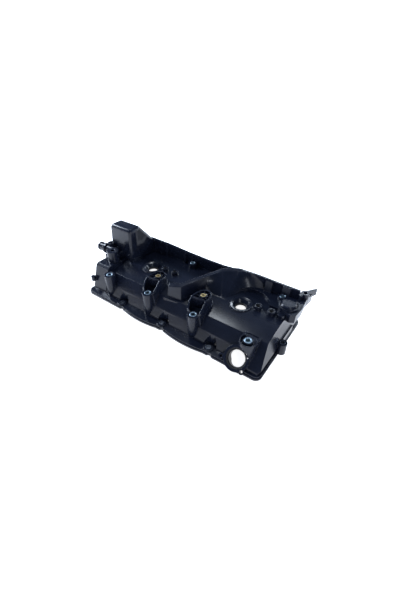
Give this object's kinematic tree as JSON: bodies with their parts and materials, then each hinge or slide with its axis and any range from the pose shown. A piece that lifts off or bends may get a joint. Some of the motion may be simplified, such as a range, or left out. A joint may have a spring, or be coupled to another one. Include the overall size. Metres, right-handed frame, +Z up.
{
  "type": "cylinder head cover",
  "caption": "Moulded engine cylinder head cover with bolt columns, sealed wells, bracket pockets, a breather chamber, a tilted port and a relief valve.",
  "frame": {"origin": "middle of the front row of bolt columns, in the plane of the gasket's lower face", "axes": "+X along the column row from the breather chamber's end to the port's end, +Y from the front edge to the rear wall, +Z up out of the roof"},
  "size_m": [0.379, 0.1682, 0.1056],
  "materials": {
    "shell_plastic": "satin to semi-gloss moulded nylon",
    "gasket_rubber": "matt",
    "sleeve_steel": "zinc plated",
    "limiter_steel": "zinc plated",
    "insert_brass": "machined",
    "seal_rubber": "matt",
    "baffle_plastic": "matt moulded",
    "valve_rubber": "matt silicone",
    "valve_plastic": "moulded",
    "spring_steel": "bright wire",
    "cap_plastic": "satin"
  },
  "bodies": {
    "cover": {"cover_roof": "shell_plastic", "cover_front_wall": "shell_plastic", "cover_rear_wall": "shell_plastic", "cover_left_wall": "shell_plastic", "cover_right_wall": "shell_plastic", "left_bracket": "shell_plastic", "right_bracket": "shell_plastic", "cover_gasket": "gasket_rubber", "column_sleeve_1": "sleeve_steel", "column_sleeve_2": "sleeve_steel", "column_sleeve_3": "sleeve_steel", "column_sleeve_4": "sleeve_steel", "front_limiter_1": "limiter_steel", "rear_limiter_1": "limiter_steel", "front_limiter_2": "limiter_steel", "rear_limiter_2": "limiter_steel", "front_limiter_3": "limiter_steel", "rear_limiter_3": "limiter_steel", "ear_limiter": "limiter_steel", "back_sleeve_1": "sleeve_steel", "bracket_insert_1": "insert_brass", "injector_seal_1": "seal_rubber", "back_sleeve_2": "sleeve_steel", "bracket_insert_2": "insert_brass", "injector_seal_2": "seal_rubber", "lead_grommet_1": "seal_rubber", "lead_grommet_2": "seal_rubber", "lead_grommet_3": "seal_rubber", "lead_grommet_4": "seal_rubber", "port_seal": "seal_rubber", "breather_baffle": "baffle_plastic", "separator_baffle": "baffle_plastic", "valve_seat": "baffle_plastic", "valve_spring": "spring_steel", "valve_diaphragm": "valve_rubber", "valve_cap": "cap_plastic"},
    "relief_plate": {"valve_plate": "valve_plastic"},
    "left_drain": {"drain_valve_left": "valve_rubber"},
    "mid_drain": {"drain_valve_mid": "valve_rubber"}
  },
  "joints": [
    {"name": "relief_slide", "type": "slide", "parent": "cover", "child": "relief_plate", "axis": [0, 0, -1], "range_m": [0, 0.0013], "stiffness_N_per_m": 150, "deforming": ["valve_spring"]},
    {"name": "left_drain_slide", "type": "slide", "parent": "cover", "child": "left_drain", "axis": [0, 0, 1], "range_m": [0, 0.0012]},
    {"name": "mid_drain_slide", "type": "slide", "parent": "cover", "child": "mid_drain", "axis": [0, 0, 1], "range_m": [0, 0.0012]}
  ]
}
